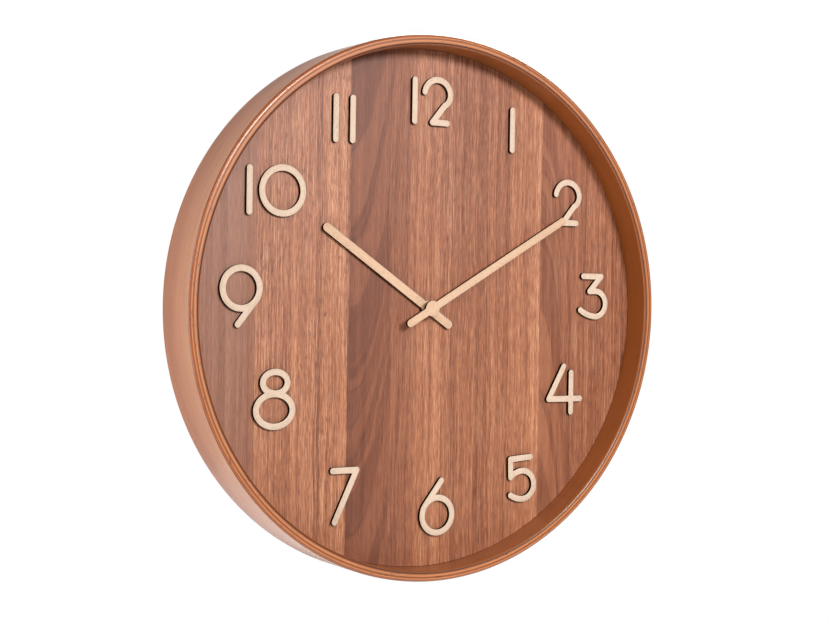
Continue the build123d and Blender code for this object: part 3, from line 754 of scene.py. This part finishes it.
# A copy of a CAD node with its sharp edges rounded a little
def softened(nodeName, width, segments=2, sharper=40.0, flatter=0.8):  # angles in degrees
    bm = bmesh.new()
    bm.from_mesh(nodes[nodeName].data)
    bmesh.ops.remove_doubles(bm, verts=bm.verts, dist=weld)
    bmesh.ops.dissolve_limit(bm, angle_limit=math.radians(flatter), verts=bm.verts, edges=bm.edges)
    limit = math.radians(sharper)
    edges = [e for e in bm.edges if len(e.link_faces) == 2 and e.calc_face_angle() > limit]
    bmesh.ops.bevel(
        bm, geom=edges, offset=width, segments=segments, profile=0.5, affect="EDGES", clamp_overlap=True
    )
    bmesh.ops.recalc_face_normals(bm, faces=bm.faces)
    return bm


# Numerals and hands

edgeRounding = {"numerals": 0.15 * mm, "hands": 0.15 * mm}


def makeNumerals():
    for hour in range(1, 13):
        name = f"numeral_{hour}"
        bm = softened(name, edgeRounding["numerals"])
        addPiece(f"numeralFace_{hour}", bm, [numeralWood], "case", [name])


def makeHands():
    for name, wood in (("hour_hand", hourWood), ("minute_hand", minuteWood)):
        bm = softened(name, edgeRounding["hands"])
        addPiece(f"{name}_blade", bm, [wood], name, [name])


# Countersunk screws with a crossed recess, one at each CAD screw

screwShape = {
    "headRadius": 3.2 * mm,
    "headHeight": 1.6 * mm,
    "shankRadius": 1.6 * mm,
    "rim": 0.18 * mm,
    "recessWidth": 0.85 * mm,
    "recessLength": 3.4 * mm,
    "recessDepth": 1.0 * mm,
    "recessTaper": 0.55,  # width at the bottom of the recess, as a share
    "tip": 0.1 * mm,
    "steps": 40,
}
over = 0.2 * mm  # a cutter stands this far out of what it cuts


def islands(mesh):  # lowest and highest corner of each separate solid in a mesh
    bm = bmesh.new()
    bm.from_mesh(mesh)
    bmesh.ops.remove_doubles(bm, verts=bm.verts, dist=weld)
    left = set(bm.verts)
    found = []
    while left:
        todo = [left.pop()]
        group = []
        while todo:
            vert = todo.pop()
            group.append(vert.co.copy())
            for edge in vert.link_edges:
                other = edge.other_vert(vert)
                if other in left:
                    left.remove(other)
                    todo.append(other)
        low = Vector([min(c[i] for c in group) for i in range(3)])
        high = Vector([max(c[i] for c in group) for i in range(3)])
        found.append((low, high))
    bm.free()
    return sorted(found, key=lambda box: (round(box[0].x, 4), round(box[0].z, 4)))


def boxInto(bm, low, high):
    sides = list(zip(low, high))
    verts = [bm.verts.new((x, y, z)) for x in sides[0] for y in sides[1] for z in sides[2]]
    for face in ((0, 1, 3, 2), (4, 6, 7, 5), (0, 4, 5, 1), (2, 3, 7, 6), (0, 2, 6, 4), (1, 5, 7, 3)):
        bm.faces.new([verts[i] for i in face])
    return verts


def cutFrom(bm, cutter):  # bm less the cutter, both closed
    shapes = []
    for source in (bm, cutter):
        bmesh.ops.recalc_face_normals(source, faces=source.faces)
        mesh = bpy.data.meshes.new("cutting")
        source.to_mesh(mesh)
        source.free()
        shapes.append(bpy.data.objects.new("cutting", mesh))
        bpy.context.scene.collection.objects.link(shapes[-1])
    body, tool = shapes
    modifier = body.modifiers.new("cut", "BOOLEAN")
    modifier.operation = "DIFFERENCE"
    modifier.solver = "EXACT"
    modifier.object = tool
    bpy.context.view_layer.update()
    graph = bpy.context.evaluated_depsgraph_get()
    result = bmesh.new()
    result.from_mesh(body.evaluated_get(graph).to_mesh())
    for shape in shapes:
        mesh = shape.data
        bpy.data.objects.remove(shape)
        bpy.data.meshes.remove(mesh)
    return result


def makeScrewMesh(length):  # the head's face is at y = 0 and the point looks along -Y
    shape = screwShape
    head, rim, shank = shape["headRadius"], shape["rim"], shape["shankRadius"]
    point = 2 * shank
    profile = [(0, 0), (head - rim, 0), (head, rim * 0.6), (head - rim * 0.3, rim * 1.6)]
    profile += [(shank, shape["headHeight"]), (shank, length - point), (shape["tip"], length), (0, length)]
    bm = bmesh.new()
    turnProfile(bm, profile, (0, 0, 0), (0, -1, 0), shape["steps"])
    half, reach, deep = shape["recessWidth"] / 2, shape["recessLength"] / 2, shape["recessDepth"]
    for wide, tall in ((half, reach), (reach, half)):
        cutter = bmesh.new()
        for vert in boxInto(cutter, (-wide, -deep, -tall), (wide, over, tall)):
            if vert.co.y < 0:
                vert.co.x *= shape["recessTaper"]
                vert.co.z *= shape["recessTaper"]
        bm = cutFrom(bm, cutter)
    mesh = bpy.data.meshes.new("screwShape")
    bm.to_mesh(mesh)
    bm.free()
    return mesh


def makeScrews(nodeName, pieceName):
    places = islands(nodes[nodeName].data)
    length = places[0][1].y - places[0][0].y
    single = makeScrewMesh(length)
    spins = random.Random(len(nodeName))
    bm = bmesh.new()
    for low, high in places:
        start = len(bm.verts)
        bm.from_mesh(single)
        bm.verts.ensure_lookup_table()
        middle = Vector(((low.x + high.x) / 2, high.y, (low.z + high.z) / 2))
        turn = Matrix.Translation(middle) @ Matrix.Rotation(spins.uniform(0, math.pi), 4, "Y")
        bmesh.ops.transform(bm, matrix=turn, verts=bm.verts[start:])
    bpy.data.meshes.remove(single)
    addPiece(pieceName, bm, [metal["zincSteel"]], "case", [nodeName])


# Movement case: a rounded moulding with an open bay for the cell

movementShape = {
    "corner": 2.2 * mm,  # rounding of the four upright corners
    "edge": 0.7 * mm,  # rounding around the back
    "wall": 1.2 * mm,
    "bayHeight": 15.3 * mm,
    "stemHole": (0.9 * mm, 30 * mm),  # radius, and reach either way
    "knobRing": (6.9 * mm, 7.8 * mm),
    "ringBevel": (0.12 * mm, 0.08 * mm),
    "ribs": (6 * mm, 9.5 * mm, 13 * mm),  # from the right-hand side, seen from behind
    "ribInset": 6 * mm,
    "ribHeight": 0.5 * mm,
    "ribWidth": 0.9 * mm,
    "markInset": 4.5 * mm,
    "markAbove": 2.2 * mm,
    "markLength": 3.0 * mm,
    "markWidth": 0.8 * mm,
    "markHeight": 0.3 * mm,
    "sunk": 0.01 * mm,  # ribs and marks start this far inside the back
}


# A plate with rounded corners and a rounded back edge; low and high are its (x, z) corners
def roundedPlate(bm, low, high, corner, edge, front, rear, cornerSteps=5, edgeSteps=4):
    rings = [(0.0, front), (0.0, rear - edge)]  # inset and y
    for i in range(1, edgeSteps + 1):
        a = math.radians(90 * i / edgeSteps)
        rings.append((edge * (1 - math.cos(a)), rear - edge + edge * math.sin(a)))
    loops = []
    for inset, y in rings:
        loop = []
        r = corner - inset
        for cx, cz, a0 in (
            (high[0] - corner, high[1] - corner, 0),
            (low[0] + corner, high[1] - corner, 90),
            (low[0] + corner, low[1] + corner, 180),
            (high[0] - corner, low[1] + corner, 270),
        ):
            for x, z in arc((cx, cz), r, a0, a0 + 90, cornerSteps):
                loop.append(bm.verts.new((x, y, z)))
        loops.append(loop)
    bridge(bm, loops)
    bm.faces.new(list(reversed(loops[0])))
    bm.faces.new(loops[-1])
    bmesh.ops.recalc_face_normals(bm, faces=bm.faces)


def bridge(bm, loops):  # faces from each ring of corners to the next
    for one, two in zip(loops, loops[1:]):
        for k in range(len(one)):
            m = (k + 1) % len(one)
            bm.faces.new((one[k], one[m], two[m], two[k]))


def makeMovementCase():
    shape = movementShape
    low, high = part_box("movement_housing")
    knobLow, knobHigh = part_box("setting_knob")
    frontY, backY = low.y, high.y
    wall = shape["wall"]
    bayTop = low.z + wall + shape["bayHeight"]
    bm = bmesh.new()
    roundedPlate(bm, (low.x, low.z), (high.x, high.z), shape["corner"], shape["edge"], frontY, backY)
    for deep, floor, top in (
        (backY - wall, bayTop + wall, high.z - wall),  # the train's room, closed at the back
        (backY + wall, low.z + wall, bayTop),  # the cell's bay, open at the back
    ):
        room = bmesh.new()
        boxInto(room, (low.x + wall, frontY - wall, floor), (high.x - wall, deep, top))
        bm = cutFrom(bm, room)
    stem = bmesh.new()
    middle = ((knobLow.x + knobHigh.x) / 2, 0, (knobLow.z + knobHigh.z) / 2)
    hole, reach = shape["stemHole"]
    turnProfile(stem, [(0, -reach), (hole, -reach), (hole, reach), (0, reach)], middle, (0, -1, 0), 32)
    bm = cutFrom(bm, stem)

    # Raised ring around the knob
    ringIn, ringOut = shape["knobRing"]
    rise = shape["ribHeight"]
    side, lift = shape["ringBevel"]
    ring = [(ringIn, 0), (ringIn, rise), (ringIn + side, rise + lift), (ringOut - side, rise + lift)]
    ring += [(ringOut, rise), (ringOut, 0)]
    turnProfile(bm, ring, (middle[0], backY, middle[2]), (0, 1, 0), 72)

    # Ribs beside the ring, then plus and minus marks at the two ends of the bay
    def raised(x, z, halfX, halfZ, height):
        boxInto(bm, (x - halfX, backY - shape["sunk"], z - halfZ), (x + halfX, backY + height, z + halfZ))

    bottom, top = bayTop + shape["ribInset"], high.z - shape["ribInset"]
    for across in shape["ribs"]:
        raised(low.x + across, (bottom + top) / 2, shape["ribWidth"] / 2, (top - bottom) / 2, rise)
    long, wide, tall = shape["markLength"] / 2, shape["markWidth"] / 2, shape["markHeight"]
    markZ = bayTop + wall + shape["markAbove"]
    raised(high.x - shape["markInset"], markZ, long, wide, tall)
    raised(high.x - shape["markInset"], markZ, wide, long, tall)
    raised(low.x + shape["markInset"], markZ, long, wide, tall)
    bmesh.ops.recalc_face_normals(bm, faces=bm.faces)
    addPiece("movementCase", bm, [plastic["blackPlastic"]], "case", ["movement_housing"])


# Setting knob: fluted, with a chamfered rim and a dished top

knobShape = {
    "flutes": 16,
    "stepsPerFlute": 12,
    "fluteDepth": 0.45 * mm,
    "chamfer": 0.35 * mm,
    "dish": 0.35 * mm,
    "bore": 0.75 * mm,
    "rim": (1.4 * mm, 1.9 * mm),  # width of the rim at its top and at its foot
    "hub": 1.6 * mm,  # radius of the flat around the bore
}


def makeKnob():
    shape = knobShape
    low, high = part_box("setting_knob")
    middle = Vector(((low.x + high.x) / 2, 0, (low.z + high.z) / 2))
    radius = (high.x - low.x) / 2
    steps = shape["flutes"] * shape["stepsPerFlute"]
    bm = bmesh.new()

    def loop(inset, y, fluted=True):
        ring = []
        for i in range(steps):
            turn = 2 * math.pi * i / steps
            wave = 0.5 + 0.5 * math.cos(shape["flutes"] * turn)
            cut = shape["fluteDepth"] * wave ** 3 if fluted else 0
            r = radius - cut - inset
            ring.append(bm.verts.new((middle.x + r * math.cos(turn), y, middle.z + r * math.sin(turn))))
        return ring

    bore, chamfer = shape["bore"], shape["chamfer"]
    rimTop, rimFoot = shape["rim"]
    floor = high.y - shape["dish"]
    rings = [
        loop(radius - bore, low.y, False),
        loop(chamfer, low.y),
        loop(0, low.y + chamfer),
        loop(0, high.y - chamfer),
        loop(chamfer, high.y),
        loop(rimTop, high.y, False),
        loop(rimFoot, floor, False),
        loop(radius - shape["hub"], floor, False),
        loop(radius - bore, floor, False),
    ]
    bridge(bm, rings + rings[:1])
    bmesh.ops.recalc_face_normals(bm, faces=bm.faces)
    addPiece("settingKnob", bm, [plastic["redPlastic"]], "setting_work", ["setting_knob"])


# Battery cell: a printed jacket shrunk over a steel can, lying along X

cellShape = {
    "film": 0.12 * mm,  # the can is this much smaller than the film around it
    "nub": (2.6 * mm, 1.2 * mm, 0.4 * mm),  # radius, length and rounding
    "shoulder": 0.6 * mm,
    "footDent": (2.2 * mm, 1.9 * mm, 0.15 * mm),  # distances in from the can's side, and depth
    "headDent": (1.6 * mm, 2.0 * mm, 0.35 * mm),
    "lap": 0.9 * mm,  # the film turns in over both ends of the can
    "lapDepths": (0.02 * mm, 0.4 * mm, 1.0 * mm),  # of its lip, its underside and its root
    "filmEdge": (0.25 * mm, 0.5 * mm),
    "filmInside": 0.05 * mm,
    "shoulderSteps": 4,
    "steps": 96,
}


def makeCell():
    shape = cellShape
    low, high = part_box("battery_cell")
    radius = (high.z - low.z) / 2
    middle = (low.x, (low.y + high.y) / 2, (low.z + high.z) / 2)
    length = high.x - low.x
    nub, nubLength, nubEdge = shape["nub"]
    end = length - nubLength
    can = radius - shape["film"]
    curve, fine = shape["shoulder"], shape["shoulderSteps"]
    dentIn, dentOut, dent = shape["footDent"]
    profile = [(0, dent), (can - dentIn, dent), (can - dentOut, 0)]
    profile += arc((can - curve, curve), curve, 270, 360, fine)
    profile += arc((can - curve, end - curve), curve, 0, 90, fine)
    dentOut, dentIn, dent = shape["headDent"]
    profile += [(can - dentOut, end), (can - dentIn, end - dent), (nub + nubEdge, end - dent), (nub, end)]
    profile += arc((nub - nubEdge, length - nubEdge), nubEdge, 0, 90, fine) + [(0, length)]
    bm = bmesh.new()
    turnProfile(bm, profile, middle, (1, 0, 0), shape["steps"])
    addPiece("cellCan", bm, [metal["cellSteel"]], "battery", ["battery_cell"])

    lap, inside = can - shape["lap"], can - shape["filmInside"]
    lip, turnIn, reach = shape["lapDepths"]
    bevel, side = shape["filmEdge"]
    half = [(inside, reach), (lap, turnIn), (lap, lip), (radius - bevel, 0.0), (radius, side)]
    bm = bmesh.new()
    turnProfile(bm, half + [(r, end - a) for r, a in reversed(half)], middle, (1, 0, 0), shape["steps"])
    addPiece("cellSleeve", bm, [jacket], "battery", ["battery_cell"])


# Pieces of the back that keep their CAD outline, with softened edges

def makeBackPieces():
    softEdges = {
        "cleats": ("cornerCleats", 0.5 * mm, pine, "cleat_wood"),
        "hanger_blocks": ("hangerBlocks", 0.5 * mm, pine, "cleat_wood"),
        "hanger_plate": ("hangerPlate", 0.25 * mm, metal["zincSteel"], "zinc_steel"),
        "ring_nut": ("ringNut", 0.12 * mm, metal["brass"], "brass"),
    }
    for nodeName, (name, width, material, slotName) in softEdges.items():
        bm = softened(nodeName, width)
        addPiece(name, bm, [material], "case", [nodeName])


handLean = {"hour": 303.6, "minute": 59.8}  # the hands at rest, in degrees clockwise from twelve

walnut = makeWalnut()
hoopWood = makeHoopPly()
numeralWood = makePaleWood("numeralWood", "numeral")
hourWood = makePaleWood("hourHandWood", "hand", -math.radians(handLean["hour"]))
minuteWood = makePaleWood("minuteHandWood", "hand", -math.radians(handLean["minute"]))
pine = makePine()
board = makeBoard()
metal = {name: makeMetal(name) for name in metals}
plastic = {name: makePlastic(name) for name in plastics}
circuit = makeCircuit()
jacket = makeJacket()
print("materials made")

finishes = [  # the CAD nodes that keep their shape
    (walnut, ["dial_veneer"]),
    (board, ["dial_board"]),
    (circuit, ["circuit_board"]),
    (metal["aluminium"], ["hour_hand_bush", "minute_hand_bush"]),
    (metal["brass"], ["minute_arbor", "movement_bush"]),
    (metal["zincSteel"], ["steel_washer"]),
    (metal["springSteel"], ["coil_stator", "coil_core", "contact_positive", "contact_negative"]),
    (metal["copperWire"], ["coil_winding"]),
    (metal["magnetCore"], ["rotor_magnet"]),
    (metal["cellSteel"], ["crystal"]),
    (plastic["whitePlastic"], ["motion_wheel", "hour_wheel", "centre_wheel", "third_wheel"]),
    (plastic["whitePlastic"], ["seconds_wheel", "intermediate_wheel", "rotor_pinion", "train_bridge"]),
    (plastic["blackPlastic"], ["movement_front_plate", "coil_bobbin", "circuit_chip"]),
    (plastic["washerRubber"], ["rubber_washer"]),
]

for material, nodeNames in finishes:
    for nodeName in nodeNames:
        dress(nodeName, material)
print("CAD nodes dressed:", sum(len(nodeNames) for material, nodeNames in finishes))

makeHoop()
makeNumerals()
makeHands()
print("hoop, numerals and hands made")
makeScrews("cleat_screws", "cleatScrews")
makeScrews("hanger_screws", "hangerScrews")
makeBackPieces()
makeMovementCase()
makeKnob()
makeCell()
print("back and movement made")


# Floor, light and camera

studio = {
    "floorDrop": 0.26,  # below the clock
    "floorRadius": 0.85,
    "floorTone": (0.80, 0.84),
    "worldFill": 0.26,  # white light from all around
    "aim": (0, 0, -0.15),
    "lights": [  # name, place, width, height, watts
        ("frontLight", (0.30, -1.95, 0.60), 0.5, 0.5, 36.0),
        ("edgeLight", (-0.68, -1.75, 0.85), 0.45, 0.45, 9.0),
        ("leftFill", (-1.9, 0.05, -0.1), 1.2, 1.6, 27.0),
        ("lowFill", (-1.2, 0.0, -1.2), 0.9, 0.9, 9.0),
        ("backLight", (1.2, 1.35, 1.15), 0.9, 0.9, 48.0),
    ],
}


def makeFloor():
    material, tree, shader = startMaterial("floorPaint")
    soft = noise(tree, place(tree, (0.02, 0.02, 0.02)), detail=2)
    stops = list(zip(noiseSpan, studio["floorTone"]))
    tree.links.new(ramp(tree, soft, stops), shader.inputs["Base Color"])
    shader.inputs["Roughness"].default_value = 0.8
    bm = bmesh.new()
    bmesh.ops.create_circle(bm, cap_ends=True, segments=128, radius=studio["floorRadius"])
    mesh = bpy.data.meshes.new("floor")
    bm.to_mesh(mesh)
    bm.free()
    mesh.materials.append(material)
    floor = bpy.data.objects.new("floor", mesh)
    floor.location = (axisX, -0.1, cadLow.z - studio["floorDrop"])
    bpy.context.scene.collection.objects.link(floor)


def makeLights():
    world = bpy.data.worlds.new("studioWhite")
    bpy.context.scene.world = world
    world.use_nodes = True
    tree = world.node_tree
    tree.nodes.clear()
    output = tree.nodes.new("ShaderNodeOutputWorld")
    seen = tree.nodes.new("ShaderNodeBackground")
    fill = tree.nodes.new("ShaderNodeBackground")
    chosen = tree.nodes.new("ShaderNodeMixShader")
    rays = tree.nodes.new("ShaderNodeLightPath")
    for light, strength in ((seen, 1.0), (fill, studio["worldFill"])):
        light.inputs["Color"].default_value = (1, 1, 1, 1)
        light.inputs["Strength"].default_value = strength
    tree.links.new(rays.outputs["Is Camera Ray"], chosen.inputs[0])
    tree.links.new(fill.outputs[0], chosen.inputs[1])
    tree.links.new(seen.outputs[0], chosen.inputs[2])
    tree.links.new(chosen.outputs[0], output.inputs["Surface"])
    aim = Vector(studio["aim"])
    for name, spot, width, height, watts in studio["lights"]:
        lamp = bpy.data.lights.new(name, "AREA")
        lamp.shape = "RECTANGLE"
        lamp.size = width
        lamp.size_y = height
        lamp.energy = watts
        light = bpy.data.objects.new(name, lamp)
        light.location = spot
        light.rotation_euler = (aim - Vector(spot)).to_track_quat("-Z", "Y").to_euler()
        bpy.context.scene.collection.objects.link(light)


viewpoint = {
    "azimuth": -31.559,  # degrees, from straight in front
    "elevation": 0.56,
    "roll": 0.863,
    "distance": 1.1191,
    "aim": (-0.02365, -0.0454, -0.14981),
    "lens": 67.09,
    "sensor": 36.0,
    "nearest": 0.01,
}


def makeCamera():
    lens = bpy.data.cameras.new("camera")
    lens.lens = viewpoint["lens"]
    lens.sensor_width = viewpoint["sensor"]
    lens.sensor_fit = "HORIZONTAL"
    lens.clip_start = viewpoint["nearest"]
    camera = bpy.data.objects.new("camera", lens)
    turn = math.radians(viewpoint["azimuth"])
    lift = math.radians(viewpoint["elevation"])
    roll = math.radians(viewpoint["roll"])
    back = Vector((math.sin(turn) * math.cos(lift), -math.cos(turn) * math.cos(lift), math.sin(lift)))
    right = (-back).cross(Vector((0, 0, 1))).normalized()
    up = right.cross(-back)
    rolledRight = right * math.cos(roll) + up * math.sin(roll)
    rolledUp = up * math.cos(roll) - right * math.sin(roll)
    spot = Vector(viewpoint["aim"]) + back * viewpoint["distance"]
    axes = Matrix((rolledRight, rolledUp, back)).transposed().to_4x4()
    camera.matrix_world = Matrix.Translation(spot) @ axes
    bpy.context.scene.collection.objects.link(camera)
    bpy.context.scene.camera = camera


makeFloor()
makeLights()
makeCamera()
bpy.context.scene.view_settings.view_transform = "Standard"
print("floor, lights and camera made")
